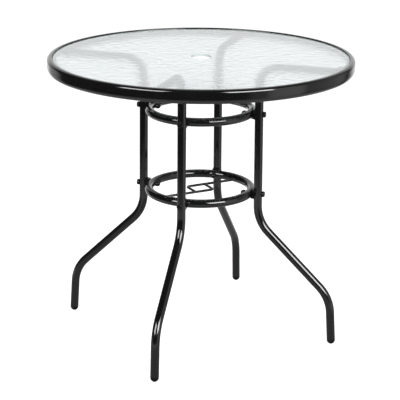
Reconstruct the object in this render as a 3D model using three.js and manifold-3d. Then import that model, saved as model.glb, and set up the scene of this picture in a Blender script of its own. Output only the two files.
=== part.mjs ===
import * as THREE from "three";
import { mergeVertices } from "three/addons/utils/BufferGeometryUtils.js";
import Module from "manifold-3d";

const wasm = await Module();
wasm.setup();

// A round glass-topped umbrella table, in millimetres.
// The origin is on the floor under the table's centre and +Z is up.
// The four legs stand on the +X (right), +Y (back), -X (left) and -Y (front) axes.

// Whole table
const tableHeight = 727;
const topDiameter = 762;

// Rim: one rolled strip, with a skirt outside, a rounded flange on top and a ledge under the glass
const rimSheet = 1.2;
const skirtHeight = 32.5;
const flangeWidth = 15;
const flangeBend = 7;
const hemWidth = 6;
const hemBend = 6;
const ledgeWidth = 9;

// Glass and the strip it lies on
const glassThickness = 5;
const glassRecess = 3;
const glassEdgeGap = 0.8;
const glassChamfer = 1;
const umbrellaHoleDiameter = 50;
const gasketThickness = 0.8;
const gasketInset = 1.5;

// Legs: tube, corner points as radius from the table's axis and height, and the bend at each corner
const tubeDiameter = 20;
const tubeWall = 1.2;
const legEndClearance = 0.6;
const shoulderRadius = 150.2;
const kneeRadius = 153.2;
const kneeHeight = 311;
const ankleRadius = 347.3;
const ankleHeight = 124.3;
const footRadius = 355.6;
const shoulderBend = 50;
const kneeBend = 95;
const ankleBend = 100;

// Foot caps
const capHeight = 10;
const capSide = 3;
const capCrownDrop = 0.8;
const plugLength = 14;
const plugChamfer = 1.5;

// Rings inside the legs: the upper one hangs under the top, the lower one stands above the floor
const upperRingDrop = 138;
const lowerRingHeight = 382.4;

// Saddles between a leg and a ring
const saddleWeb = 1.2;
const saddleWidth = 18;
const saddleWrap = 5;
const saddleLegHeight = 29;
const saddleRingHeight = 24;
const saddleWaistHeight = 20;

// Bolts and nuts
const boltDiameter = 6;
const boltHeadDiameter = 12.4;
const ringBoltHeadHeight = 6.6;
const rimBoltHeadHeight = 4;
const boltHeadCrown = 2;
const capNutDiameter = 11.6;
const capNutHeight = 9.4;
const capNutSkirt = 4.2;
const capNutRoof = 1.6;
const boltEndGap = 0.8;
const weldNutFlats = 10;
const weldNutHeight = 5;
const rimBoltEndDistance = 14;

// Lugs welded under the ledge
const tabThickness = 2;
const tabLength = 34;
const tabWidth = 28;
const tabCorner = 6;

// Pole guide: two wires that close a square round the pole
const wireDiameter = 5;
const guideOpening = 46;
const wireBend = 7;

// Clearances
const seatGap = 0.25;
const boreClearance = 0.3;
const plugClearance = 0.3;
const cutOverrun = 5;

// Facets
const rimSegments = 56;
const ringSegments = 32;
const tubeSides = 10;
const domeSteps = 3;
const ringBoreSides = 6;
const wireSides = 8;
const boltSides = 10;
const nutSides = 6;
const boreSides = 8;
const grooveSides = 16;
const capSides = 12;
const bendStepDegrees = 15;
const rimBendStepDegrees = 30;
const mergeDistance = 1e-4;

// Values worked out from the sizes above
const quarterNames = ["right", "back", "left", "front"];
const topRadius = topDiameter / 2;
const tubeRadius = tubeDiameter / 2;
const boreRadius = tubeRadius - tubeWall;
const boltRadius = boltDiameter / 2;
const boltBoreRadius = boltRadius + boreClearance;
const flangeInnerRadius = topRadius - flangeWidth;
const ledgeInnerRadius = flangeInnerRadius - ledgeWidth;
const glassTop = tableHeight - glassRecess;
const glassBottom = glassTop - glassThickness;
const ledgeTop = glassBottom - gasketThickness;
const tabTop = ledgeTop - rimSheet - seatGap;
const tabBottom = tabTop - tabThickness;
const legRunHeight = tabBottom - seatGap - tubeRadius;
const upperRingHeight = tableHeight - upperRingDrop;
const skirtInnerRadius = (topRadius - rimSheet) * Math.cos(Math.PI / rimSegments);
const hemInnerRadius = (topRadius - rimSheet / 2 - hemWidth) * Math.cos(Math.PI / rimSegments);
const legEndRadius = hemInnerRadius - legEndClearance;
const rimBoltRadius = legEndRadius - rimBoltEndDistance;
const legLean = Math.atan2(kneeRadius - shoulderRadius, legRunHeight - kneeHeight);
const footTilt = Math.atan2(footRadius - ankleRadius, ankleHeight);
const tubePitch = tubeDiameter + saddleWeb + 2 * seatGap;

// The stations of a line through corner points, each corner rounded to its bend radius.
// A station has a point, the direction there and the mitre that keeps a strip's width at a sharp corner.
function bentLine(corners, bendRadii, stepDegrees) {
  const stations = [];
  const directions = corners.slice(1).map((corner, i) => corner.clone().sub(corners[i]).normalize());
  stations.push({ point: corners[0], direction: directions[0], mitre: 1 });
  for (let i = 1; i < corners.length - 1; i += 1) {
    const before = directions[i - 1];
    const after = directions[i];
    const turn = Math.atan2(before.cross(after), before.dot(after));
    const radius = bendRadii[i - 1];
    if (radius === 0) {
      const direction = before.clone().add(after).normalize();
      stations.push({ point: corners[i], direction, mitre: 1 / Math.cos(turn / 2) });
      continue;
    }
    const side = Math.sign(turn);
    const start = corners[i].clone().addScaledVector(before, -radius * Math.tan(Math.abs(turn) / 2));
    const centre = start.clone().add(new THREE.Vector2(-before.y, before.x).multiplyScalar(side * radius));
    const steps = Math.max(1, Math.ceil(THREE.MathUtils.radToDeg(Math.abs(turn)) / stepDegrees));
    for (let k = 0; k <= steps; k += 1) {
      const angle = (turn * k) / steps;
      const direction = before.clone().rotateAround(new THREE.Vector2(), angle);
      stations.push({ point: start.clone().rotateAround(centre, angle), direction, mitre: 1 });
    }
  }
  stations.push({ point: corners.at(-1), direction: directions.at(-1), mitre: 1 });
  return stations;
}

// A bent line as a curve in space, which a section follows station by station.
class BentCurve extends THREE.Curve {
  constructor(stations, toSpace) {
    super();
    this.points = stations.map((station) => toSpace(station.point));
    this.directions = stations.map((station) => toSpace(station.direction));
    this.steps = stations.length - 1;
  }

  getPointAt(share, target = new THREE.Vector3()) {
    return target.copy(this.points[Math.round(share * this.steps)]);
  }

  getTangentAt(share, target = new THREE.Vector3()) {
    return target.copy(this.directions[Math.round(share * this.steps)]);
  }
}

// The closed outline of a sheet of even thickness along a bent line.
function sheetOutline(stations, thickness) {
  const side = (sign) => stations.map(({ point, direction, mitre }) => {
    const normal = new THREE.Vector2(-direction.y, direction.x);
    return point.clone().addScaledVector(normal, (sign * mitre * thickness) / 2);
  });
  const outline = [...side(1), ...side(-1).reverse()];
  return [...outline, outline[0].clone()];
}

// The points of a regular polygon with a corner on its first axis.
function polygon(radius, sides) {
  return Array.from({ length: sides }, (_, i) => {
    const angle = (2 * Math.PI * i) / sides;
    return new THREE.Vector2(radius * Math.cos(angle), radius * Math.sin(angle));
  });
}

// The corner radius of a polygon whose flats stand at a radius.
const aroundRadius = (radius, sides) => radius / Math.cos(Math.PI / sides);

// Closed geometry to a solid and back.
function toSolid(geometry) {
  const bare = geometry.clone();
  bare.deleteAttribute("normal");
  bare.deleteAttribute("uv");
  const merged = mergeVertices(bare, mergeDistance);
  return new wasm.Manifold(new wasm.Mesh({
    numProp: 3,
    vertProperties: merged.attributes.position.array,
    triVerts: new Uint32Array(merged.index.array),
  }));
}

function toGeometry(solid) {
  const mesh = solid.getMesh();
  const geometry = new THREE.BufferGeometry();
  geometry.setAttribute("position", new THREE.BufferAttribute(mesh.vertProperties, 3));
  geometry.setIndex(new THREE.BufferAttribute(mesh.triVerts, 1));
  geometry.computeVertexNormals();
  return geometry;
}

function cutAway(geometry, cutters) {
  return toGeometry(cutters.reduce((solid, cutter) => solid.subtract(toSolid(cutter)), toSolid(geometry)));
}

// A profile of radius and height turned round the Z axis.
function revolve(profile, segments) {
  return new THREE.LatheGeometry(profile, segments).rotateX(Math.PI / 2);
}

const at = (radius, height) => new THREE.Vector2(radius, height);

// A dome's profile from its rim to its top: the rim's radius and height, and the dome's own height.
function domeProfile(radius, rimHeight, rise) {
  return Array.from({ length: domeSteps + 1 }, (_, i) => {
    const angle = (Math.PI / 2) * (i / domeSteps);
    return at(i < domeSteps ? radius * Math.cos(angle) : 0, rimHeight + rise * Math.sin(angle));
  });
}

// A round cutter whose flats clear a radius, along Z from one height to another.
function roundCutter(radius, from, to, sides = boreSides) {
  const cornerRadius = aroundRadius(radius, sides);
  return new THREE.CylinderGeometry(cornerRadius, cornerRadius, to - from, sides)
    .rotateX(Math.PI / 2)
    .translate(0, 0, (from + to) / 2);
}

// The same cutter along X.
function crossCutter(radius, from, to, sides = boreSides) {
  return roundCutter(radius, from, to, sides).rotateY(Math.PI / 2);
}

// A tube or a wire swept along a curve.
function sweep(curve, outerRadius, innerRadius, sides) {
  const section = new THREE.Shape(polygon(outerRadius, sides));
  if (innerRadius > 0) section.holes.push(new THREE.Path(polygon(innerRadius, sides)));
  return new THREE.ExtrudeGeometry(section, { steps: curve.steps, extrudePath: curve });
}

// The radius at which a leg's upright passes a height.
function legRadiusAt(height) {
  return kneeRadius - (height - kneeHeight) * Math.tan(legLean);
}

// The centreline radius of a ring at a height: its tube stands off the leg by the saddle's web.
function ringRadiusAt(height) {
  return legRadiusAt(height) - tubePitch / Math.cos(legLean);
}

// A junction's own frame: origin on the ring's tube, X square to the leg and outwards, Z up along the leg.
function junctionMatrix(height) {
  return new THREE.Matrix4()
    .makeTranslation(ringRadiusAt(height), 0, height)
    .multiply(new THREE.Matrix4().makeRotationY(-legLean));
}

const ringHeights = { upper: upperRingHeight, lower: lowerRingHeight };

// Rim
function rimGeometry() {
  const skirtRadius = topRadius - rimSheet / 2;
  const flangeHeight = tableHeight - rimSheet / 2;
  const hemHeight = tableHeight - skirtHeight + rimSheet / 2;
  const stepRadius = flangeInnerRadius + rimSheet / 2;
  const ledgeHeight = ledgeTop - rimSheet / 2;
  const corners = [
    at(skirtRadius - hemWidth, hemHeight),
    at(skirtRadius, hemHeight),
    at(skirtRadius, flangeHeight),
    at(stepRadius, flangeHeight),
    at(stepRadius, ledgeHeight),
    at(ledgeInnerRadius, ledgeHeight),
  ];
  const strip = bentLine(corners, [hemBend, flangeBend, 0, 0], rimBendStepDegrees);
  return revolve(sheetOutline(strip, rimSheet).reverse(), rimSegments);
}

// Glass top with its umbrella hole and eased edges
function glassGeometry() {
  const edge = flangeInnerRadius - glassEdgeGap;
  const hole = umbrellaHoleDiameter / 2;
  return revolve([
    at(hole, glassBottom),
    at(edge, glassBottom),
    at(edge, glassTop - glassChamfer),
    at(edge - glassChamfer, glassTop),
    at(hole + glassChamfer, glassTop),
    at(hole, glassTop - glassChamfer),
    at(hole, glassBottom),
  ], rimSegments);
}

// Soft strip on the ledge
function gasketGeometry() {
  const inner = ledgeInnerRadius + gasketInset;
  const outer = flangeInnerRadius - glassEdgeGap;
  return revolve([
    at(inner, ledgeTop),
    at(outer, ledgeTop),
    at(outer, glassBottom),
    at(inner, glassBottom),
    at(inner, ledgeTop),
  ], rimSegments);
}

// Lug under the ledge, with rounded inner corners and the bolt's hole
function tabGeometry() {
  const halfWidth = tabWidth / 2;
  const outer = Math.sqrt((skirtInnerRadius - seatGap) ** 2 - halfWidth ** 2);
  const inner = outer - tabLength;
  const outline = new THREE.Shape();
  outline.moveTo(outer, -halfWidth);
  outline.lineTo(outer, halfWidth);
  outline.lineTo(inner + tabCorner, halfWidth);
  outline.quadraticCurveTo(inner, halfWidth, inner, halfWidth - tabCorner);
  outline.lineTo(inner, tabCorner - halfWidth);
  outline.quadraticCurveTo(inner, -halfWidth, inner + tabCorner, -halfWidth);
  outline.lineTo(outer, -halfWidth);
  const hole = polygon(aroundRadius(boltBoreRadius, boreSides), boreSides);
  outline.holes.push(new THREE.Path(hole.map((point) => point.add(at(rimBoltRadius, 0)))));
  return new THREE.ExtrudeGeometry(outline, { depth: tabThickness, bevelEnabled: false, curveSegments: 3 })
    .translate(0, 0, tabBottom);
}

// Hexagon nut welded under the lug, inside the leg's tube
function weldNutGeometry() {
  const outline = new THREE.Shape(polygon(aroundRadius(weldNutFlats / 2, nutSides), nutSides));
  outline.holes.push(new THREE.Path(polygon(aroundRadius(boltBoreRadius, boreSides), boreSides)));
  return new THREE.ExtrudeGeometry(outline, { depth: weldNutHeight, bevelEnabled: false });
}

// Bolt with a crowned head: its origin is under the head and its shank goes down
function boltGeometry(shankLength, headHeight) {
  const headRadius = boltHeadDiameter / 2;
  return revolve([
    at(0, -shankLength),
    at(boltRadius, -shankLength),
    at(boltRadius, 0),
    at(headRadius, 0),
    at(headRadius, headHeight - boltHeadCrown),
    at(headRadius - boltHeadCrown, headHeight - boltHeadCrown / 4),
    at(0, headHeight),
  ], boltSides);
}

// Round cap nut with a blind bore: its origin is on its base and its dome goes up
function capNutGeometry() {
  const radius = capNutDiameter / 2;
  return revolve([
    at(0, capNutHeight - capNutRoof),
    at(boltBoreRadius, capNutHeight - capNutRoof),
    at(boltBoreRadius, 0),
    at(radius, 0),
    ...domeProfile(radius, capNutSkirt, capNutHeight - capNutSkirt),
  ], boltSides);
}

// Leg
function legCorners() {
  const footAxis = at(Math.sin(footTilt), -Math.cos(footTilt));
  return [
    at(legEndRadius, legRunHeight),
    at(shoulderRadius, legRunHeight),
    at(kneeRadius, kneeHeight),
    at(ankleRadius, ankleHeight),
    at(footRadius, 0).addScaledVector(footAxis, -capHeight),
  ];
}

function legGeometry() {
  const stations = bentLine(legCorners(), [shoulderBend, kneeBend, ankleBend], bendStepDegrees);
  const curve = new BentCurve(stations, (p) => new THREE.Vector3(p.x, 0, p.y));
  const nutRadius = aroundRadius(weldNutFlats / 2, nutSides) + boreClearance;
  const rimBore = roundCutter(boltBoreRadius, -tubeDiameter, 0).translate(rimBoltRadius, 0, legRunHeight);
  const nutBore = roundCutter(nutRadius, 0, tubeDiameter).translate(rimBoltRadius, 0, legRunHeight);
  const ringBores = Object.values(ringHeights).map((height) =>
    crossCutter(boltBoreRadius, tubePitch - tubeDiameter, tubePitch + tubeDiameter)
      .applyMatrix4(junctionMatrix(height)));
  const tube = sweep(curve, tubeRadius, aroundRadius(boreRadius, tubeSides), tubeSides);
  return cutAway(tube, [rimBore, nutBore, ...ringBores]);
}

// Foot cap: plug in the tube, collar and crown, worn flat where it stands on the floor
function footGeometry(matrix) {
  const plugRadius = boreRadius - plugClearance;
  const crown = capHeight - capSide + capCrownDrop;
  const cap = revolve([
    ...domeProfile(tubeRadius, -capSide, -crown).reverse(),
    at(tubeRadius, -seatGap),
    at(plugRadius, -seatGap),
    at(plugRadius, plugLength - plugChamfer),
    at(plugRadius - plugChamfer, plugLength),
    at(0, plugLength),
  ], capSides);
  const floorDepth = capHeight;
  const floor = new THREE.BoxGeometry(2 * tubeDiameter, 2 * tubeDiameter, floorDepth)
    .translate(footRadius, 0, -floorDepth / 2)
    .applyMatrix4(matrix.clone().invert());
  return cutAway(cap, [floor]);
}

// Ring: hollow hoop whose flats face the legs, with a bolt hole at each leg
function ringGeometry(height) {
  const hoopRadius = aroundRadius(ringRadiusAt(height), ringSegments);
  const halfStep = Math.PI / ringSegments;
  const hoop = new THREE.TorusGeometry(hoopRadius, tubeRadius, tubeSides, ringSegments).rotateZ(halfStep);
  const hollow = new THREE.TorusGeometry(hoopRadius, boreRadius, ringBoreSides, ringSegments).rotateZ(halfStep);
  const toHoop = new THREE.Matrix4().makeTranslation(0, 0, -height);
  const bores = quarterNames.map((_, i) =>
    crossCutter(boltBoreRadius, -tubeDiameter, tubeDiameter)
      .applyMatrix4(junctionMatrix(height))
      .applyMatrix4(toHoop)
      .rotateZ((i * Math.PI) / 2));
  return cutAway(hoop, [hollow, ...bores]);
}

// Saddle: a waisted block, hollowed on one side for the leg and on the other for the ring
function saddleGeometry() {
  const ringFace = tubeRadius - saddleWrap;
  const legFace = tubePitch - tubeRadius + saddleWrap;
  const middle = (ringFace + legFace) / 2;
  const outline = new THREE.Shape();
  outline.moveTo(ringFace, -saddleRingHeight / 2);
  outline.quadraticCurveTo(middle, -saddleWaistHeight / 2, legFace, -saddleLegHeight / 2);
  outline.lineTo(legFace, saddleLegHeight / 2);
  outline.quadraticCurveTo(middle, saddleWaistHeight / 2, ringFace, saddleRingHeight / 2);
  outline.lineTo(ringFace, -saddleRingHeight / 2);
  const block = new THREE.ExtrudeGeometry(outline, { depth: saddleWidth, bevelEnabled: false, curveSegments: 4 })
    .translate(0, 0, -saddleWidth / 2)
    .rotateX(Math.PI / 2);
  const reach = saddleLegHeight / 2 + cutOverrun;
  const legGroove = roundCutter(tubeRadius + seatGap, -reach, reach, grooveSides).translate(tubePitch, 0, 0);
  const ringGroove = roundCutter(tubeRadius + seatGap, -reach, reach, grooveSides).rotateX(Math.PI / 2);
  const bore = crossCutter(boltBoreRadius, 0, tubePitch);
  return cutAway(block, [legGroove, ringGroove, bore]);
}

// Pole guide wire: a straight run from the lower ring, one bend and the short side of the square
function poleGuideGeometry() {
  const wireRadius = wireDiameter / 2;
  const half = (guideOpening + wireDiameter) / 2;
  const wall = ringRadiusAt(lowerRingHeight) - tubeRadius - seatGap;
  const start = -Math.sqrt(wall ** 2 - (half + wireRadius) ** 2);
  const corners = [at(start, -half), at(half, -half), at(half, half - wireDiameter - seatGap)];
  const stations = bentLine(corners, [wireBend], bendStepDegrees);
  const curve = new BentCurve(stations, (p) => new THREE.Vector3(p.x, p.y, 0));
  return sweep(curve, wireRadius, 0, wireSides);
}

// Materials of the sub-parts: colour, roughness and metalness
const finishes = {
  blackSteel: { color: 0x17171a, roughness: 0.32, metalness: 0.6 },
  blackPlastic: { color: 0x101012, roughness: 0.5, metalness: 0 },
  glass: { color: 0xdde6e6, roughness: 0.15, metalness: 0 },
  clearVinyl: { color: 0xc9cfcf, roughness: 0.6, metalness: 0 },
  zincSteel: { color: 0x9a9da0, roughness: 0.4, metalness: 0.9 },
};

function part(name, geometry, finish) {
  const mesh = new THREE.Mesh(geometry, new THREE.MeshStandardMaterial(finishes[finish]));
  mesh.name = name;
  return mesh;
}

const table = new THREE.Group();
table.add(part("rim_frame", rimGeometry(), "blackSteel"));
table.add(part("glass_top", glassGeometry(), "glass"));
table.add(part("glass_gasket", gasketGeometry(), "clearVinyl"));

for (const [level, height] of Object.entries(ringHeights)) {
  const ring = part(`${level}_ring`, ringGeometry(height), "blackSteel");
  ring.position.z = height;
  table.add(ring);
}

// The two pole guide wires are alike, one turned half round against the other.
for (const [name, turn] of [["pole_guide_front", Math.PI / 4], ["pole_guide_back", (5 * Math.PI) / 4]]) {
  const wire = part(name, poleGuideGeometry(), "blackSteel");
  wire.position.z = lowerRingHeight;
  wire.rotation.z = turn;
  table.add(wire);
}

// What stands at each leg is modelled once, on the +X axis, and turned to its quarter.
const footMatrix = new THREE.Matrix4()
  .makeTranslation(footRadius - capHeight * Math.sin(footTilt), 0, capHeight * Math.cos(footTilt))
  .multiply(new THREE.Matrix4().makeRotationY(-footTilt));
const headSeat = tubePitch + tubeRadius + seatGap;
const nutSeat = -tubeRadius - seatGap;
const ringShank = headSeat - nutSeat + capNutHeight - capNutRoof - boltEndGap;
const rimHeadSeat = legRunHeight - tubeRadius - seatGap;
const rimShank = tabTop - boltEndGap - rimHeadSeat;
const quarterGeometry = {
  leg: legGeometry(),
  foot: footGeometry(footMatrix),
  tab: tabGeometry(),
  tabNut: weldNutGeometry(),
  rimBolt: boltGeometry(rimShank, rimBoltHeadHeight).rotateX(Math.PI),
  saddle: saddleGeometry(),
  ringBolt: boltGeometry(ringShank, ringBoltHeadHeight).rotateY(Math.PI / 2),
  capNut: capNutGeometry().rotateY(-Math.PI / 2),
};

quarterNames.forEach((quarterName, i) => {
  const quarter = new THREE.Group();
  quarter.rotation.z = (i * Math.PI) / 2;
  table.add(quarter);

  quarter.add(part(`leg_${quarterName}`, quarterGeometry.leg, "blackSteel"));
  const foot = part(`foot_${quarterName}`, quarterGeometry.foot, "blackPlastic");
  foot.applyMatrix4(footMatrix);
  quarter.add(foot);

  quarter.add(part(`rim_tab_${quarterName}`, quarterGeometry.tab, "blackSteel"));
  const tabNut = part(`tab_nut_${quarterName}`, quarterGeometry.tabNut, "zincSteel");
  tabNut.position.set(rimBoltRadius, 0, tabBottom - seatGap - weldNutHeight);
  quarter.add(tabNut);
  const rimBolt = part(`rim_bolt_${quarterName}`, quarterGeometry.rimBolt, "blackSteel");
  rimBolt.position.set(rimBoltRadius, 0, rimHeadSeat);
  quarter.add(rimBolt);

  for (const [level, height] of Object.entries(ringHeights)) {
    const junction = new THREE.Group();
    junction.applyMatrix4(junctionMatrix(height));
    quarter.add(junction);
    junction.add(part(`saddle_${level}_${quarterName}`, quarterGeometry.saddle, "blackPlastic"));
    const bolt = part(`ring_bolt_${level}_${quarterName}`, quarterGeometry.ringBolt, "blackSteel");
    bolt.position.x = headSeat;
    junction.add(bolt);
    const nut = part(`cap_nut_${level}_${quarterName}`, quarterGeometry.capNut, "blackSteel");
    nut.position.x = nutSeat;
    junction.add(nut);
  }
});

export default table;
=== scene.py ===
import math

import bmesh
import bpy
from mathutils import Matrix, Vector, noise

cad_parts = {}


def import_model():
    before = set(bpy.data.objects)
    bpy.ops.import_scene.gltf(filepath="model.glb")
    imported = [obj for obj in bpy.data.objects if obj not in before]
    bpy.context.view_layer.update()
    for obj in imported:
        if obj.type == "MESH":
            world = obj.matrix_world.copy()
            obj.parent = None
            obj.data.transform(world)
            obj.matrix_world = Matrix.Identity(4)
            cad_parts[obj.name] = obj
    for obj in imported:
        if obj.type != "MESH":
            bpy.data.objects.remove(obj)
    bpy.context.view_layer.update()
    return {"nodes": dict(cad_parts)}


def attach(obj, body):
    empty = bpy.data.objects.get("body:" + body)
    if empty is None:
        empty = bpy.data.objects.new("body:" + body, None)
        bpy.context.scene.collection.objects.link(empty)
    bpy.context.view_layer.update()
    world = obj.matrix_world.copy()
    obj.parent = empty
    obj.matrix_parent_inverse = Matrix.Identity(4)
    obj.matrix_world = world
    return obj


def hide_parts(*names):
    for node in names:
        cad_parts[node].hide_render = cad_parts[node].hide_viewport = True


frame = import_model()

# Real sizes in millimetres, some of them a little different from the CAD's. Meshes are made in millimetres
# and scaled to metres.
MM = 0.001
TABLE_HEIGHT = 727.0
TOP_RADIUS = 381.0

# Rim: the rolled strip's sheet and the centreline of its section
RIM_SHEET = 1.2
SKIRT_HEIGHT = 32.5
FLANGE_WIDTH = 13.0
FLANGE_BEND = 7.0
HEM_WIDTH = 6.0
HEM_RISE = 12.0
STEP_BEND = 1.2
LEDGE_WIDTH = 9.0

# Glass and the strip under its edge
GLASS_THICKNESS = 5.0
GLASS_RECESS = 3.0
GLASS_EDGE_GAP = 0.8
GLASS_EDGE_BEND = 1.0
HOLE_RADIUS = 25.0
STRIP_THICKNESS = 0.8
STRIP_INSET = 1.5
STRIP_BEND = 0.3

# Relief of the glass: waves drawn out by a swirl, and ripples on them, each from its own level of the noise
WAVE_HEIGHT = 0.10
WAVE_LENGTH = 13.0
SWIRL_LENGTH = 3 * WAVE_LENGTH
RIPPLE_LENGTH = 0.5 * WAVE_LENGTH
WAVE_LEVEL = 110.0
SWIRL_LEVEL = 70.0
RIPPLE_LEVEL = 31.0
WAVE_SHARE = 1.3
RIPPLE_SHARE = 0.5
SWIRL_SEED = 1

# Legs
TUBE_RADIUS = 10.8
TUBE_WALL = 1.2
LEG_END_RADIUS = 373.2
LEG_RUN_HEIGHT = 703.7
SHOULDER_RADIUS = 150.7
KNEE_RADIUS = 153.7
KNEE_HEIGHT = 311.0
ANKLE_RADIUS = 347.3
ANKLE_HEIGHT = 124.3
FOOT_RADIUS = 355.6
LEG_BENDS = (50.0, 95.0, 100.0)

# Foot caps
CAP_HEIGHT = 12.5
CAP_SIDE = 0.9
CAP_CROWN = 12.0
CAP_LIP = 0.5
PLUG_RADIUS = 9.3
PLUG_LENGTH = 14.0
PLUG_CHAMFER = 1.5

# Rings and what holds them to the legs
RING_HEIGHTS = {"upper": 589.0, "lower": 382.4}
SADDLE_WEB = 0.6
SADDLE_WIDTH = 18.0
SADDLE_WRAP = 5.0
SADDLE_LEG_HEIGHT = 29.0
SADDLE_RING_HEIGHT = 24.0
SADDLE_WAIST_HEIGHT = 20.0
SADDLE_EDGE = 0.5
SEAT_GAP = 0.25
BOLT_RADIUS = 3.0
BOLT_CHAMFER = 0.5
BORE_RADIUS = 3.3
HEAD_RADIUS = 7.3
RING_HEAD_HEIGHT = 6.6
RIM_HEAD_HEIGHT = 4.0
HEAD_BEND = 1.5
HEAD_CROWN = 0.5
HEAD_CHAMFER = 0.3
NUT_RADIUS = 6.9
NUT_HEIGHT = 11.4
NUT_SKIRT = 4.2
NUT_ROOF = 1.6
NUT_CHAMFER = 0.4
BOLT_END_GAP = 0.8
RIM_BOLT_RADIUS = 359.2
WELD_NUT_RADIUS = 6.1
RIM_BOLT_END = 715.95

# Pole guide
WIRE_RADIUS = 3.2
GUIDE_HALF = 25.5
WIRE_BEND = 9.0

# Facets
RIM_SEGMENTS = 256
GLASS_SEGMENTS = 432
GLASS_RINGS = 112
RING_SEGMENTS = 160
TUBE_SIDES = 32
WIRE_SIDES = 20
ROUND_SIDES = 48
CUTTER_SIDES = 24
HOLLOW_SIDES = 96
DISC_SIDES = 64
HEM_STEPS = 10
CROWN_STEPS = 8
DOME_STEPS = 10
WAIST_STEPS = 10
EDGE_SEGMENTS = 2
BEND_STEP = math.radians(4)
WIRE_BEND_STEP = math.radians(8)
EDGE_STEP = math.radians(15)
STRIP_STEP = math.radians(30)
SHARP_ANGLE = math.radians(40)
GLASS_SHARP_ANGLE = math.radians(80)
EASED_ANGLE = math.radians(50)
FLAT_HOLD = 0.5

# What counts as nothing: a share of an arc's step, a gap between points and an edge's length, both in metres
STEP_SLACK = 1e-6
POINT_GAP = 1e-7
EDGE_GAP = 1e-8

# Sizes that follow from those above
TUBE_BORE = TUBE_RADIUS - TUBE_WALL
LEG_LEAN = math.atan2(KNEE_RADIUS - SHOULDER_RADIUS, LEG_RUN_HEIGHT - KNEE_HEIGHT)
FOOT_TILT = math.atan2(FOOT_RADIUS - ANKLE_RADIUS, ANKLE_HEIGHT)
TUBE_PITCH = 2 * TUBE_RADIUS + SADDLE_WEB + 2 * SEAT_GAP
GLASS_TOP = TABLE_HEIGHT - GLASS_RECESS
GLASS_BOTTOM = GLASS_TOP - GLASS_THICKNESS
LEDGE_TOP = GLASS_BOTTOM - STRIP_THICKNESS
FLANGE_INNER = TOP_RADIUS - FLANGE_WIDTH
LEDGE_INNER = FLANGE_INNER - LEDGE_WIDTH
GLASS_RADIUS = FLANGE_INNER - GLASS_EDGE_GAP
HEAD_SEAT = TUBE_PITCH + TUBE_RADIUS + SEAT_GAP
NUT_SEAT = -TUBE_RADIUS - SEAT_GAP
RING_SHANK = HEAD_SEAT - NUT_SEAT + NUT_HEIGHT - NUT_ROOF - BOLT_END_GAP
RIM_HEAD_SEAT = LEG_RUN_HEIGHT - TUBE_RADIUS - SEAT_GAP
BORE_REACH = 1.5 * TUBE_RADIUS
CUT_REACH = 2 * TUBE_RADIUS
SOLE_CUT_RADIUS = 3 * TUBE_RADIUS

QUARTER_TURN = math.pi / 2
QUARTERS = ("right", "back", "left", "front")
ALONG_X = Matrix.Rotation(QUARTER_TURN, 4, "Y")


# Section lines

def bent_line(corners, bends, step):
    """Points and directions along a line in a plane whose corners are rounded to the bend radii."""
    corners = [Vector(corner) for corner in corners]
    ways = [(b - a).normalized() for a, b in zip(corners, corners[1:])]
    stations = [(corners[0], ways[0])]

    def straight_to(end, way):
        """Stations just past the last bend and just before the next keep the straight between them flat."""
        last = stations[-1][0]
        if (end - last).length > 2 * FLAT_HOLD:
            if len(stations) > 1:
                stations.append((last + way * FLAT_HOLD, way))
            stations.append((end - way * FLAT_HOLD, way))

    for corner, bend, before, after in zip(corners[1:], bends, ways, ways[1:]):
        turn = math.atan2(before.x * after.y - before.y * after.x, before.dot(after))
        side = math.copysign(1, turn)
        start = corner - before * bend * math.tan(abs(turn) / 2)
        straight_to(start, before)
        centre = start + Vector((-before.y, before.x)) * side * bend
        steps = max(1, math.ceil(abs(turn) / step))
        for k in range(steps + 1):
            turned = Matrix.Rotation(turn * k / steps, 2)
            stations.append((centre + turned @ (start - centre), turned @ before))
    straight_to(corners[-1], ways[-1])
    stations.append((corners[-1], ways[-1]))
    return stations


def sheet_section(stations, thickness):
    """The closed outline of a sheet along a line, with rounded cut edges."""
    half = thickness / 2
    across = [Vector((-way.y, way.x)) * half for _, way in stations]
    left = [point + side for (point, _), side in zip(stations, across)]
    right = [point - side for (point, _), side in zip(stations, across)]
    turns = [Matrix.Rotation(-k * QUARTER_TURN / 2, 2) for k in (1, 2, 3)]
    far = [stations[-1][0] + turn @ across[-1] for turn in turns]
    near = [stations[0][0] - turn @ across[0] for turn in turns]
    return left + far + right[::-1] + near


def arc(centre, radius, start, end, step=EDGE_STEP):
    """Points on an arc in a plane, its ends given in quarter turns."""
    steps = max(1, math.ceil(abs(end - start) * QUARTER_TURN / step - STEP_SLACK))
    points = []
    for k in range(steps + 1):
        angle = (start + (end - start) * k / steps) * QUARTER_TURN
        points.append(Vector((centre[0] + radius * math.cos(angle), centre[1] + radius * math.sin(angle))))
    return points


def in_space(line, across, up):
    """Stations of a line in a plane, placed in space."""
    return [(across * p.x + up * p.y, across * way.x + up * way.y) for p, way in line]


# Meshes

def mesh_of(name, points, faces, sharp=SHARP_ANGLE):
    """A mesh in metres from points in millimetres, its normals outward and its sharp edges kept."""
    mesh = bpy.data.meshes.new(name)
    mesh.from_pydata([Vector(point) * MM for point in points], [], faces)
    form = bmesh.new()
    form.from_mesh(mesh)
    bmesh.ops.remove_doubles(form, verts=form.verts, dist=POINT_GAP)
    bmesh.ops.dissolve_degenerate(form, edges=form.edges, dist=EDGE_GAP)
    bmesh.ops.recalc_face_normals(form, faces=form.faces)
    form.to_mesh(mesh)
    form.free()
    return smooth(mesh, sharp)


def smooth(mesh, sharp=SHARP_ANGLE):
    mesh.shade_smooth()
    mesh.set_sharp_from_angle(angle=sharp)
    return mesh


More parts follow.
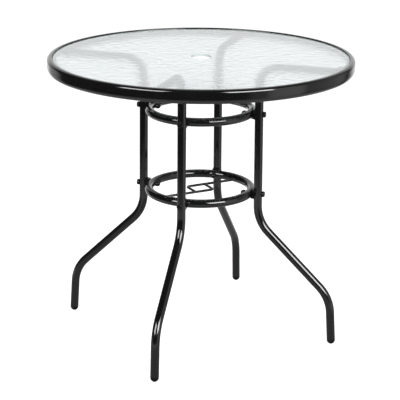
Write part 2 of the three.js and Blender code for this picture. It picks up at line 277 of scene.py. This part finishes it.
def lathe(name, section, segments, sharp=SHARP_ANGLE):
    """A closed section of radius and height turned round the Z axis."""
    points, faces, count = [], [], len(section)
    for i in range(segments):
        angle = 2 * math.pi * i / segments
        cos, sin = math.cos(angle), math.sin(angle)
        points += [(r * cos, r * sin, z) for r, z in section]
    for i in range(segments):
        here, there = i * count, (i + 1) % segments * count
        for k in range(count):
            after = (k + 1) % count
            faces.append((here + k, there + k, there + after, here + after))
    return mesh_of(name, points, faces, sharp)


def swept(name, stations, outer, inner, sides, upright):
    """A tube, or a wire if inner is None, along stations in space; one axis of its section is upright."""
    points, faces = [], []
    walls = [outer] if inner is None else [outer, inner]
    for radius in walls:
        for point, way in stations:
            side = upright.cross(way).normalized()
            for k in range(sides):
                angle = 2 * math.pi * k / sides
                points.append(point + (upright * math.cos(angle) + side * math.sin(angle)) * radius)
    rows = len(stations)
    for wall in range(len(walls)):
        base = wall * rows * sides
        for row in range(rows - 1):
            for k in range(sides):
                a, b = base + row * sides + k, base + row * sides + (k + 1) % sides
                faces.append((a, b, b + sides, a + sides))
    for row in (0, rows - 1):
        ring = [row * sides + k for k in range(sides)]
        if inner is None:
            faces.append(ring)
        else:
            for k in range(sides):
                a, b = ring[k], ring[(k + 1) % sides]
                faces.append((a, b, b + rows * sides, a + rows * sides))
    return mesh_of(name, points, faces)


def torus(name, radius, tube, sides):
    angles = [2 * math.pi * k / sides for k in range(sides)]
    section = [(radius + tube * math.cos(angle), tube * math.sin(angle)) for angle in angles]
    return lathe(name, section, RING_SEGMENTS)


def rod(radius, start, end, matrix, sides=CUTTER_SIDES):
    """A cutter: a round rod along Z, in millimetres, placed by a matrix in millimetres."""
    return placed(lathe("cutter", [(0, start), (radius, start), (radius, end), (0, end)], sides), matrix)


def shift(x, z):
    return Matrix.Translation((x, 0, z))


def placed(mesh, matrix):
    """The mesh moved by a matrix in millimetres."""
    metres = matrix.copy()
    metres.translation = matrix.translation * MM
    mesh.transform(metres)
    return mesh


def linked(name, data):
    """A new object in the scene."""
    obj = bpy.data.objects.new(name, data)
    bpy.context.scene.collection.objects.link(obj)
    return obj


def modified(mesh, *changes):
    """The mesh after modifiers, each given as its type and its settings."""
    name = mesh.name
    carrier = linked("carrier", mesh)
    helpers = []
    for kind, settings in changes:
        modifier = carrier.modifiers.new(kind, kind)
        for key, value in settings.items():
            if key == "object":
                value = linked("helper", value)
                helpers.append(value)
            setattr(modifier, key, value)
    graph = bpy.context.evaluated_depsgraph_get()
    result = bpy.data.meshes.new_from_object(carrier.evaluated_get(graph))
    for helper in [carrier, *helpers]:
        data = helper.data
        bpy.data.objects.remove(helper)
        bpy.data.meshes.remove(data)
    result.name = name
    return smooth(result)


def cut(mesh, *cutters):
    settings = {"operation": "DIFFERENCE", "solver": "EXACT"}
    return modified(mesh, *[("BOOLEAN", {**settings, "object": cutter}) for cutter in cutters])


# Materials

class Tree:
    """Short calls for building the node tree of a world or a material."""

    def __init__(self, owner):
        owner.use_nodes = True
        self.tree = owner.node_tree
        self.tree.nodes.clear()

    def add(self, kind, links=(), **settings):
        """A node with its settings, its inputs given as values or as the outputs of other nodes."""
        node = self.tree.nodes.new(kind)
        for key, value in settings.items():
            setattr(node, key, value)
        for socket, value in dict(links).items():
            if isinstance(value, bpy.types.NodeSocket):
                self.tree.links.new(value, node.inputs[socket])
            else:
                node.inputs[socket].default_value = value
        return node

    def math(self, operation, a, b):
        return self.add("ShaderNodeMath", {0: a, 1: b}, operation=operation).outputs[0]

    def vector(self, operation, links, output="Vector"):
        return self.add("ShaderNodeVectorMath", links, operation=operation).outputs[output]

    def ramp(self, value, low, high, to_low=0.0, to_high=1.0, **settings):
        """The value's stretch from low to high, mapped to another and held at its ends."""
        links = {"Value": value, "From Min": low, "From Max": high, "To Min": to_low, "To Max": to_high}
        return self.add("ShaderNodeMapRange", links, **settings).outputs["Result"]


class Nodes(Tree):
    """Short calls for building one material's node tree."""

    NOISE_LOW = 0.3
    NOISE_HIGH = 0.7

    def __init__(self, name):
        self.material = bpy.data.materials.new(name)
        super().__init__(self.material)
        self.place = self.add("ShaderNodeTexCoord").outputs["Object"]

    def noise(self, cell, detail=2.0, roughness=0.5, distortion=0.0):
        """Noise whose cells are about so many millimetres across."""
        links = {
            "Vector": self.place, "Scale": 1 / (cell * MM), "Detail": detail, "Roughness": roughness,
            "Distortion": distortion,
        }
        return self.add("ShaderNodeTexNoise", links).outputs["Fac"]

    def spread(self, cloud, to_low=0.0, to_high=1.0):
        """Noise spread over a range."""
        return self.ramp(cloud, self.NOISE_LOW, self.NOISE_HIGH, to_low, to_high)

    def mix(self, share, first, second):
        """Two colours mixed. Sockets go by number here, as each data type has its own of the same name."""
        return self.add("ShaderNodeMix", {0: share, 6: first, 7: second}, data_type="RGBA").outputs[2]

    def bump(self, height, distance, strength=1.0):
        links = {"Height": height, "Distance": distance * MM, "Strength": strength}
        return self.add("ShaderNodeBump", links).outputs["Normal"]

    def principled(self, links):
        """The main shader."""
        return self.add("ShaderNodeBsdfPrincipled", links).outputs[0]

    def mixed(self, share, first, second):
        """Two shaders mixed."""
        return self.add("ShaderNodeMixShader", {0: share, 1: first, 2: second}).outputs[0]

    def surface(self, shader):
        """The finished material with this shader."""
        self.add("ShaderNodeOutputMaterial", {"Surface": shader})
        return self.material


def grey(level, blue=1.0):
    return (level, level, level * blue, 1.0)


def powder_coat():
    """Black polyester powder coat: fine orange peel, and a little dust on what faces up."""
    n = Nodes("powder_coat_black")
    cloud = n.noise(60, detail=4.0, roughness=0.6)
    specks = n.ramp(n.noise(3.0, roughness=0.7), 0.5, 0.8, 0.0, 0.06)
    normal = n.add("ShaderNodeNewGeometry").outputs["Normal"]
    upward = n.ramp(n.add("ShaderNodeSeparateXYZ", {"Vector": normal}).outputs["Z"], 0.3, 1.0)
    dust = n.math("MULTIPLY", upward, specks)
    base = n.mix(n.spread(cloud), grey(0.0018, blue=1.05), grey(0.0028, blue=1.05))
    return n.surface(n.principled({
        "Base Color": n.mix(dust, base, grey(0.02, blue=0.97)),
        "Roughness": n.math("ADD", n.spread(cloud, 0.08, 0.12), n.math("MULTIPLY", dust, 0.3)),
        "Normal": n.bump(n.noise(1.6, detail=3.0, roughness=0.55), 0.012, strength=0.6),
        "IOR": 1.5,
    }))


def black_plastic():
    """Moulded black plastic with a fine spark-eroded grain."""
    n = Nodes("moulded_plastic_black")
    cloud = n.noise(14, detail=3.0)
    return n.surface(n.principled({
        "Base Color": n.mix(n.spread(cloud), grey(0.0015), grey(0.003)),
        "Roughness": n.spread(cloud, 0.3, 0.4),
        "Normal": n.bump(n.noise(0.45, roughness=0.6), 0.03, strength=0.7),
        "Specular IOR Level": 0.12,
    }))


def black_steel():
    """Black coated fasteners, rubbed here and there."""
    n = Nodes("coated_fastener_black")
    cloud = n.noise(5, detail=3.0, roughness=0.6)
    rub = n.ramp(n.noise(1.1, detail=4.0, roughness=0.7), 0.58, 0.75, 0.0, 0.5)
    return n.surface(n.principled({
        "Base Color": n.mix(rub, grey(0.002), grey(0.007)),
        "Roughness": n.spread(cloud, 0.2, 0.32),
        "Normal": n.bump(cloud, 0.04, strength=0.5),
        "Specular IOR Level": 0.2,
    }))


def zinc_steel():
    """Zinc plated steel with its crystalline mottling, in cells of 1.5 mm."""
    n = Nodes("zinc_plated_steel")
    spangle = n.add("ShaderNodeTexVoronoi", {"Vector": n.place, "Scale": 1 / (1.5 * MM)}).outputs["Distance"]
    return n.surface(n.principled({
        "Base Color": n.mix(n.ramp(spangle, 0.0, 0.8), (0.46, 0.47, 0.49, 1), (0.66, 0.66, 0.65, 1)),
        "Roughness": n.spread(n.noise(2.0), 0.28, 0.45),
        "Metallic": 1.0,
    }))


def clear_vinyl():
    """Soft clear-grey strip, slightly cloudy."""
    n = Nodes("vinyl_strip")
    cloud = n.noise(9, detail=3.0)
    return n.surface(n.principled({
        "Base Color": n.mix(n.spread(cloud), (0.50, 0.53, 0.53, 1), (0.60, 0.62, 0.61, 1)),
        "Roughness": n.spread(cloud, 0.4, 0.55),
        "Normal": n.bump(n.noise(0.8), 0.03, strength=0.5),
    }))


def rolled_glass(name, share, deep, pale, relief, roughness):
    """Glass that lets a share of the light through, tinted from deep to pale, and open to the lamps."""
    n = Nodes(name)
    tone = n.spread(n.noise(16.0, detail=3.0, roughness=0.55, distortion=0.4))
    glass = n.principled({
        "Base Color": n.mix(tone, deep, pale),
        "Roughness": roughness,
        "Normal": n.bump(n.noise(9.0, distortion=0.8), relief, strength=0.6),
        "IOR": 1.5,
        "Transmission Weight": share,
    })
    clear = n.add("ShaderNodeBsdfTransparent", {"Color": (0.86, 0.9, 0.9, 1)}).outputs[0]
    lamps = n.add("ShaderNodeLightPath").outputs["Is Shadow Ray"]
    return n.surface(n.mixed(lamps, glass, clear))


def textured_glass():
    """The upper face: a milky sheen from its rolled relief."""
    deep, pale = (0.63, 0.68, 0.685, 1), (0.70, 0.742, 0.747, 1)
    return rolled_glass("water_wave_glass", 0.69, deep, pale, relief=0.1, roughness=0.07)


def plain_glass():
    """The lower face."""
    deep, pale = (0.95, 0.98, 0.975, 1), (0.97, 0.99, 0.99, 1)
    return rolled_glass("glass_underside", 1.0, deep, pale, relief=0.02, roughness=0.14)


def ground_glass_painted_shade():
    """The frosted edge and hole wall: milky from the grinding, and tinted darker than that as painted shade
    down the hole.
    """
    # The dark tint is painted shade for the hole; the milkiness is the ground glass's own
    deep, pale = (0.32, 0.36, 0.35, 1), (0.39, 0.43, 0.42, 1)
    return rolled_glass("glass_ground_edge_painted_shade", 0.2, deep, pale, relief=0.05, roughness=0.5)


MATERIALS = {
    "powder_coat": powder_coat(),
    "textured_glass": textured_glass(),
    "vinyl": clear_vinyl(),
    "black_plastic": black_plastic(),
    "black_fasteners": black_steel(),
    "zinc_steel": zinc_steel(),
}


def piece(mesh, name, slot, *nodes):
    """A piece of the object on its one body, standing for the named CAD nodes."""
    mesh.materials.clear()
    mesh.materials.append(MATERIALS[slot])
    obj = linked(name, mesh)
    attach(obj, "root")
    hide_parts(*nodes)
    return obj


def copied(mesh, matrix, node, suffix, slot):
    """A placed copy of a mesh, as the piece that stands for a node and is named after it."""
    copy = mesh.copy()
    copy.name = node
    return piece(placed(copy, matrix), f"{node}_{suffix}", slot, node)


# Rim, glass and the strip between them

def rim_mesh():
    skirt = TOP_RADIUS - RIM_SHEET / 2
    flange = TABLE_HEIGHT - RIM_SHEET / 2
    hem = TABLE_HEIGHT - SKIRT_HEIGHT + RIM_SHEET / 2
    step = FLANGE_INNER + RIM_SHEET / 2
    ledge = LEDGE_TOP - RIM_SHEET / 2
    curl = []
    for k in range(HEM_STEPS + 1):
        cos, sin = math.cos(QUARTER_TURN * k / HEM_STEPS), math.sin(QUARTER_TURN * k / HEM_STEPS)
        place = Vector((skirt - HEM_WIDTH * (1 - sin), hem + HEM_RISE * (1 - cos)))
        curl.append((place, Vector((HEM_WIDTH * cos, HEM_RISE * sin)).normalized()))
    corners = [
        (skirt, hem + HEM_RISE + FLAT_HOLD), (skirt, flange), (step, flange), (step, ledge),
        (LEDGE_INNER, ledge),
    ]
    line = curl + bent_line(corners, [FLANGE_BEND, STEP_BEND, STEP_BEND], EDGE_STEP)
    return lathe("rim", sheet_section(line, RIM_SHEET), RIM_SEGMENTS)


def wave(x, y):
    """The rolled relief of the glass, up and down by WAVE_HEIGHT at most."""
    swirl = noise.noise_vector(Vector((x, y, SWIRL_LEVEL)) / SWIRL_LENGTH) * WAVE_LENGTH
    broad = noise.noise(Vector((x + swirl.x, y + swirl.y, WAVE_LEVEL)) / WAVE_LENGTH)
    small = noise.noise(Vector((x, y, RIPPLE_LEVEL)) / RIPPLE_LENGTH)
    return WAVE_HEIGHT * max(-1.0, min(1.0, WAVE_SHARE * broad + RIPPLE_SHARE * small))


def glass_mesh():
    """The glass with rounded edges; the relief fades out before them."""
    bend = GLASS_EDGE_BEND
    start, end = HOLE_RADIUS + bend, GLASS_RADIUS - bend
    high, low = GLASS_TOP - bend, GLASS_BOTTOM + bend
    section = [(start + (end - start) * k / GLASS_RINGS, GLASS_TOP) for k in range(1, GLASS_RINGS)]
    section += arc((end, high), bend, 1, 0) + arc((end, low), bend, 0, -1)
    section += [(end - FLAT_HOLD, GLASS_BOTTOM), (start + FLAT_HOLD, GLASS_BOTTOM)]
    section += arc((start, low), bend, -1, -2) + arc((start, high), bend, 2, 1)
    mesh = lathe("glass", section, GLASS_SEGMENTS, GLASS_SHARP_ANGLE)
    # Without a seed the swirl would be a new one at each run
    noise.seed_set(SWIRL_SEED)
    for vertex in mesh.vertices:
        x, y, z = vertex.co / MM
        radius = math.hypot(x, y)
        fade = min(1.0, (radius - start) / (2 * bend), (end - radius) / (2 * bend))
        if z > high and fade > 0:
            vertex.co.z += fade * wave(x, y) * MM
    return mesh


def strip_mesh():
    bend = STRIP_BEND
    inner, outer = LEDGE_INNER + STRIP_INSET + bend, GLASS_RADIUS - bend
    low, high = LEDGE_TOP + bend, GLASS_BOTTOM - bend
    section = []
    for turn, corner in enumerate([(outer, high), (outer, low), (inner, low), (inner, high)]):
        section += arc(corner, bend, 1 - turn, -turn, STRIP_STEP)
    return lathe("strip", section, RIM_SEGMENTS)


UPPER_FACE, LOWER_FACE, GROUND_FACE = range(3)
WALL_SLOPE = 0.7

piece(rim_mesh(), "rim_frame_rolled", "powder_coat", "rim_frame")
glass = piece(glass_mesh(), "glass_top_rolled", "textured_glass", "glass_top").data
glass.materials.append(plain_glass())
glass.materials.append(ground_glass_painted_shade())
for polygon in glass.polygons:
    if abs(polygon.normal.z) < WALL_SLOPE:
        polygon.material_index = GROUND_FACE
    else:
        polygon.material_index = LOWER_FACE if polygon.normal.z < 0 else UPPER_FACE
piece(strip_mesh(), "glass_gasket_strip", "vinyl", "glass_gasket")


# Legs, feet and their fasteners, made once on the +X axis and turned to each quarter

def ring_radius_at(height):
    leg = KNEE_RADIUS - (height - KNEE_HEIGHT) * math.tan(LEG_LEAN)
    return leg - TUBE_PITCH / math.cos(LEG_LEAN)


def junction(height):
    """The frame of a ring's junction: on the ring's tube, X square to the leg and Z along it."""
    return shift(ring_radius_at(height), height) @ Matrix.Rotation(-LEG_LEAN, 4, "Y")


def leg_mesh():
    corners = [
        (LEG_END_RADIUS, LEG_RUN_HEIGHT), (SHOULDER_RADIUS, LEG_RUN_HEIGHT), (KNEE_RADIUS, KNEE_HEIGHT),
        (ANKLE_RADIUS, ANKLE_HEIGHT),
        (FOOT_RADIUS - CAP_HEIGHT * math.sin(FOOT_TILT), CAP_HEIGHT * math.cos(FOOT_TILT)),
    ]
    line = bent_line(corners, LEG_BENDS, BEND_STEP)
    stations = in_space(line, Vector((1, 0, 0)), Vector((0, 0, 1)))
    tube = swept("leg", stations, TUBE_RADIUS, TUBE_BORE, TUBE_SIDES, Vector((0, 1, 0)))
    end = shift(RIM_BOLT_RADIUS, LEG_RUN_HEIGHT)
    cutters = [rod(BORE_RADIUS, -CUT_REACH, 0, end), rod(WELD_NUT_RADIUS, 0, CUT_REACH, end)]
    for height in RING_HEIGHTS.values():
        bore = junction(height) @ ALONG_X
        cutters.append(rod(BORE_RADIUS, TUBE_PITCH - BORE_REACH, TUBE_PITCH + BORE_REACH, bore))
    return cut(tube, *cutters)


def foot_mesh():
    """Cap with its plug: a lip where it meets the tube, a crowned end worn flat on the floor."""
    section = [(0, PLUG_LENGTH), (PLUG_RADIUS - PLUG_CHAMFER, PLUG_LENGTH)]
    section += [(PLUG_RADIUS, PLUG_LENGTH - PLUG_CHAMFER), (PLUG_RADIUS, -SEAT_GAP)]
    section += [(TUBE_RADIUS - CAP_LIP, -SEAT_GAP), (TUBE_RADIUS, -SEAT_GAP - CAP_LIP)]
    for k in range(CROWN_STEPS):
        angle = QUARTER_TURN * k / CROWN_STEPS
        section.append((TUBE_RADIUS * math.cos(angle), -CAP_SIDE - CAP_CROWN * math.sin(angle)))
    section.append((0, -CAP_SIDE - CAP_CROWN))
    place = shift(FOOT_RADIUS - CAP_HEIGHT * math.sin(FOOT_TILT), CAP_HEIGHT * math.cos(FOOT_TILT))
    cap = placed(lathe("foot", section, ROUND_SIDES), place @ Matrix.Rotation(-FOOT_TILT, 4, "Y"))
    return cut(cap, rod(SOLE_CUT_RADIUS, -CUT_REACH, 0, shift(FOOT_RADIUS, 0)))


def bolt_mesh(shank, head):
    """Bolt with a crowned head: its origin is under the head and its shank goes down."""
    section = [(0, -shank), (BOLT_RADIUS - BOLT_CHAMFER, -shank), (BOLT_RADIUS, BOLT_CHAMFER - shank)]
    section += [(BOLT_RADIUS, 0), (HEAD_RADIUS - HEAD_CHAMFER, 0), (HEAD_RADIUS, HEAD_CHAMFER)]
    shoulder = HEAD_RADIUS - HEAD_BEND
    section += arc((shoulder, head - HEAD_CROWN - HEAD_BEND), HEAD_BEND, 0, 1)
    section += [(shoulder / 2, head - HEAD_CROWN / 4), (0, head)]
    return lathe("bolt", section, ROUND_SIDES)


def nut_mesh():
    """Round cap nut with a blind bore: its origin is on its base and its dome goes up."""
    bore_end, rise = NUT_HEIGHT - NUT_ROOF, NUT_HEIGHT - NUT_SKIRT
    section = [(0, bore_end), (BORE_RADIUS, bore_end), (BORE_RADIUS, 0)]
    section += [(NUT_RADIUS - NUT_CHAMFER, 0), (NUT_RADIUS, NUT_CHAMFER)]
    for k in range(DOME_STEPS):
        angle = QUARTER_TURN * k / DOME_STEPS
        section.append((NUT_RADIUS * math.cos(angle), NUT_SKIRT + rise * math.sin(angle)))
    return lathe("nut", section + [(0, NUT_HEIGHT)], ROUND_SIDES)


def saddle_mesh():
    """Waisted block between leg and ring, hollowed for both, its edges eased."""
    ring_face, leg_face = TUBE_RADIUS - SADDLE_WRAP, TUBE_PITCH - TUBE_RADIUS + SADDLE_WRAP
    middle = (ring_face + leg_face) / 2

    def edge(side):
        """A quadratic curve from the ring's face past the waist to the leg's face."""
        ring_end = Vector((ring_face, side * SADDLE_RING_HEIGHT / 2))
        waist = Vector((middle, side * SADDLE_WAIST_HEIGHT / 2))
        leg_end = Vector((leg_face, side * SADDLE_LEG_HEIGHT / 2))
        shares = [k / WAIST_STEPS for k in range(WAIST_STEPS + 1)]
        return [ring_end * (1 - t) ** 2 + waist * 2 * t * (1 - t) + leg_end * t ** 2 for t in shares]

    outline = edge(-1) + edge(1)[::-1]
    count, half = len(outline), SADDLE_WIDTH / 2
    points = [(p.x, y, p.y) for y in (-half, half) for p in outline]
    faces = [list(range(count)), list(range(count, 2 * count))]
    faces += [(k, (k + 1) % count, (k + 1) % count + count, k + count) for k in range(count)]
    block = mesh_of("saddle", points, faces)
    seat, reach = TUBE_RADIUS + SEAT_GAP, SADDLE_LEG_HEIGHT
    leg = rod(seat, -reach, reach, shift(TUBE_PITCH, 0), HOLLOW_SIDES)
    ring = rod(seat, -reach, reach, Matrix.Rotation(QUARTER_TURN, 4, "X"), HOLLOW_SIDES)
    hollow = cut(block, leg, ring, rod(BORE_RADIUS, 0, TUBE_PITCH, ALONG_X))
    return modified(hollow, ("BEVEL", {
        "width": SADDLE_EDGE * MM, "segments": EDGE_SEGMENTS, "limit_method": "ANGLE",
        "angle_limit": EASED_ANGLE, "harden_normals": False,
    }))


leg = leg_mesh()
foot = foot_mesh()
saddle = saddle_mesh()
ring_bolt = bolt_mesh(RING_SHANK, RING_HEAD_HEIGHT)
rim_bolt = bolt_mesh(RIM_BOLT_END - RIM_HEAD_SEAT, RIM_HEAD_HEIGHT)
cap_nut = nut_mesh()

for i, quarter in enumerate(QUARTERS):
    turn = Matrix.Rotation(i * QUARTER_TURN, 4, "Z")
    under = turn @ shift(RIM_BOLT_RADIUS, RIM_HEAD_SEAT) @ Matrix.Rotation(math.pi, 4, "X")
    copied(leg, turn, f"leg_{quarter}", "tube", "powder_coat")
    copied(foot, turn, f"foot_{quarter}", "cap", "black_plastic")
    copied(rim_bolt, under, f"rim_bolt_{quarter}", "round", "black_fasteners")
    for level, height in RING_HEIGHTS.items():
        place = turn @ junction(height)
        head_place = place @ shift(HEAD_SEAT, 0) @ ALONG_X
        nut_place = place @ shift(NUT_SEAT, 0) @ ALONG_X.inverted()
        copied(saddle, place, f"saddle_{level}_{quarter}", "moulded", "black_plastic")
        copied(ring_bolt, head_place, f"ring_bolt_{level}_{quarter}", "round", "black_fasteners")
        copied(cap_nut, nut_place, f"cap_nut_{level}_{quarter}", "round", "black_fasteners")


# Rings and the pole guide

def ring_mesh(height):
    """A hollow hoop with a bore for each bolt."""
    radius = ring_radius_at(height)
    cutters = [torus("hollow", radius, TUBE_BORE, TUBE_SIDES // 2)]
    for i in range(len(QUARTERS)):
        bore = Matrix.Rotation(i * QUARTER_TURN, 4, "Z") @ shift(0, -height) @ junction(height) @ ALONG_X
        cutters.append(rod(BORE_RADIUS, -BORE_REACH, BORE_REACH, bore))
    return placed(cut(torus("ring", radius, TUBE_RADIUS, TUBE_SIDES), *cutters), shift(0, height))


def wire_line():
    """From the ring's wall along one side of the square and round its corner, short of the other wire."""
    wall = ring_radius_at(RING_HEIGHTS["lower"]) - TUBE_RADIUS - SEAT_GAP
    start = -math.sqrt(wall ** 2 - (GUIDE_HALF + WIRE_RADIUS) ** 2)
    end = GUIDE_HALF - 2 * WIRE_RADIUS - SEAT_GAP
    corners = [(start, -GUIDE_HALF), (GUIDE_HALF, -GUIDE_HALF), (GUIDE_HALF, end)]
    return bent_line(corners, [WIRE_BEND], WIRE_BEND_STEP)


for level, height in RING_HEIGHTS.items():
    piece(ring_mesh(height), f"{level}_ring_tube", "powder_coat", f"{level}_ring")

stations = in_space(wire_line(), Vector((1, 0, 0)), Vector((0, 1, 0)))
wire = swept("wire", stations, WIRE_RADIUS, None, WIRE_SIDES, Vector((0, 0, 1)))
for name, eighths in (("front", 1), ("back", 5)):
    place = shift(0, RING_HEIGHTS["lower"]) @ Matrix.Rotation(eighths * QUARTER_TURN / 2, 4, "Z")
    copied(wire, place, f"pole_guide_{name}", "wire", "powder_coat")

# The lugs and weld nuts keep their CAD solids
for name, node in frame["nodes"].items():
    if name.startswith("rim_tab"):
        node.material_slots[0].material = MATERIALS["powder_coat"]
    if name.startswith("tab_nut"):
        node.material_slots[0].material = MATERIALS["zinc_steel"]


# Floor, camera and light: lengths in metres, but the lens and its sensor in millimetres

CAMERA_DISTANCE = 3.2699
CAMERA_HEIGHT = 1.406
CAMERA_TURN = math.radians(17.328)
CAMERA_PITCH = math.radians(17.898)
CAMERA_ROLL = math.radians(0.4627)
CAMERA_LENS = 120.55
CAMERA_SENSOR = 36
CAMERA_REACH = 200

FLOOR_RADIUS = 40.0
FLOOR_DEPTH = 0.0003
FLOOR_ALBEDO = 0.35
FLOOR_GLOW = 0.88

# The pool of light fades out from its radius to its end, and the shade in it from its core to its radius
POOL_RADIUS = 1.0
POOL_END = 1.8
POOL_DEPTH = 0.0002
POOL_GLOW = 1.0
SHADE_RADIUS = 0.85
SHADE_CORE = 0.6
SHADE_GLOW = 0.5

# White cards round the table: azimuth right of straight behind it, half width, lowest and highest elevation
# and soft edge, all in degrees, and brightness
ROOM_LEVEL = 0.05
CARDS = (
    (0, 35, -25, 95, 10, 0.80),
    (0, 30, -25, 17, 8, 1.14),
    (18, 14, -25, 18, 8, 1.10),
    (-36, 14, -25, 6, 8, 0.60),
    (90, 41, -25, 40, 12, 0.48),
    (114, 16, -30, 38, 7, 1.15),
    (130, 13, -30, 38, 6, 0.40),
)

# Lamps: azimuth and elevation in degrees, width, length and radiance, where the floor has about 1
LAMP_AIM = 0.5
LAMP_DISTANCE = 6.0
LAMPS = {
    "front_right": (144, 25, 3.5, 2.8, 18),
    "front_left": (-137, 27, 3.4, 2.6, 14),
}

TO_RIGHT = Vector((math.cos(CAMERA_TURN), math.sin(CAMERA_TURN), 0))
TO_BACK = Vector((-math.sin(CAMERA_TURN), math.cos(CAMERA_TURN), 0))
TO_TOP = Vector((0, 0, 1))


def camera():
    data = bpy.data.cameras.new("camera")
    data.lens = CAMERA_LENS
    data.sensor_width = CAMERA_SENSOR
    data.clip_end = CAMERA_REACH
    obj = linked("camera", data)
    ahead = TO_BACK * math.cos(CAMERA_PITCH) - TO_TOP * math.sin(CAMERA_PITCH)
    basis = Matrix((TO_RIGHT, TO_RIGHT.cross(ahead), -ahead)).transposed().to_4x4()
    place = Matrix.Translation(TO_TOP * CAMERA_HEIGHT - TO_BACK * CAMERA_DISTANCE)
    obj.matrix_world = place @ basis @ Matrix.Rotation(CAMERA_ROLL, 4, "Z")
    bpy.context.scene.camera = obj


def disc(name, radius, depth, material):
    """A flat disc of the floor, a little under the feet."""
    form = bmesh.new()
    bmesh.ops.create_circle(form, cap_ends=True, radius=radius, segments=DISC_SIDES)
    mesh = bpy.data.meshes.new(name)
    form.to_mesh(mesh)
    form.free()
    mesh.materials.append(material)
    obj = linked(name, mesh)
    obj.location.z = -depth
    return obj


def floor():
    """A white floor, hidden from reflections, and a pool of light round the table that only they show."""
    n = Nodes("floor_white")
    white = n.surface(n.principled({
        "Base Color": grey(FLOOR_ALBEDO), "Roughness": 0.9, "Specular IOR Level": 0.0,
        "Emission Color": grey(1.0), "Emission Strength": FLOOR_GLOW,
    }))
    disc("floor", FLOOR_RADIUS, FLOOR_DEPTH, white).visible_glossy = False

    n = Nodes("floor_light_pool")
    reach = n.vector("LENGTH", {0: n.place}, "Value")
    strength = n.ramp(reach, SHADE_CORE, SHADE_RADIUS, SHADE_GLOW, POOL_GLOW)
    glow = n.add("ShaderNodeEmission", {"Strength": strength}).outputs[0]
    clear = n.add("ShaderNodeBsdfTransparent").outputs[0]
    light = n.surface(n.mixed(n.ramp(reach, POOL_RADIUS, POOL_END), glow, clear))
    pool = disc("floor_pool", POOL_END, POOL_DEPTH, light)
    for ray in ("camera", "diffuse", "transmission", "volume_scatter", "shadow"):
        setattr(pool, f"visible_{ray}", False)


def toward(azimuth, elevation):
    """The way from the table at an azimuth right of straight behind it and an elevation, both in degrees."""
    turn, rise = math.radians(azimuth), math.radians(elevation)
    flat = TO_BACK * math.cos(turn) + TO_RIGHT * math.sin(turn)
    return flat * math.cos(rise) + TO_TOP * math.sin(rise)


def softbox(name, azimuth, elevation, width, length, radiance):
    """A rectangular lamp that faces the table."""
    data = bpy.data.lights.new(name, "AREA")
    data.shape = "RECTANGLE"
    data.size, data.size_y = width, length
    data.energy = radiance * math.pi * width * length
    way = toward(azimuth, elevation)
    place = Matrix.Translation(TO_TOP * LAMP_AIM + way * LAMP_DISTANCE)
    linked(name, data).matrix_world = place @ (-way).to_track_quat("-Z", "Y").to_matrix().to_4x4()


def world():
    """A dim room with white cards round the table; the camera sees it white."""
    data = bpy.data.worlds.new("studio")
    bpy.context.scene.world = data
    n = Tree(data)
    way = n.add("ShaderNodeTexCoord").outputs["Generated"]
    flat = n.vector("NORMALIZE", {0: n.vector("MULTIPLY", {0: way, 1: (1, 1, 0)})})
    height = n.add("ShaderNodeSeparateXYZ", {0: way}).outputs["Z"]
    elevation = n.add("ShaderNodeMath", {0: height}, operation="ARCSINE").outputs[0]

    def step(value, low, high):
        return n.ramp(value, low, high, interpolation_type="SMOOTHSTEP")

    level = ROOM_LEVEL
    for azimuth, half, low, high, soft, brightness in CARDS:
        across = n.vector("DOT_PRODUCT", {0: flat, 1: toward(azimuth, 0)}, "Value")
        mask = step(across, math.cos(math.radians(half + soft)), math.cos(math.radians(half - soft)))
        rise = step(elevation, math.radians(low - soft), math.radians(low + soft))
        fall = step(elevation, math.radians(high + soft), math.radians(high - soft))
        card = n.math("MULTIPLY", n.math("MULTIPLY", rise, fall), mask)
        level = n.math("MAXIMUM", level, n.math("MULTIPLY", card, brightness))
    seen = n.add("ShaderNodeLightPath").outputs["Is Camera Ray"]
    strength = n.math("MAXIMUM", level, seen)
    background = n.add("ShaderNodeBackground", {"Color": grey(1.0), "Strength": strength})
    n.add("ShaderNodeOutputWorld", {"Surface": background.outputs[0]})


camera()
floor()
world()
for name, settings in LAMPS.items():
    softbox(name, *settings)

view = bpy.context.scene.view_settings
view.view_transform = "Standard"
view.look = "None"
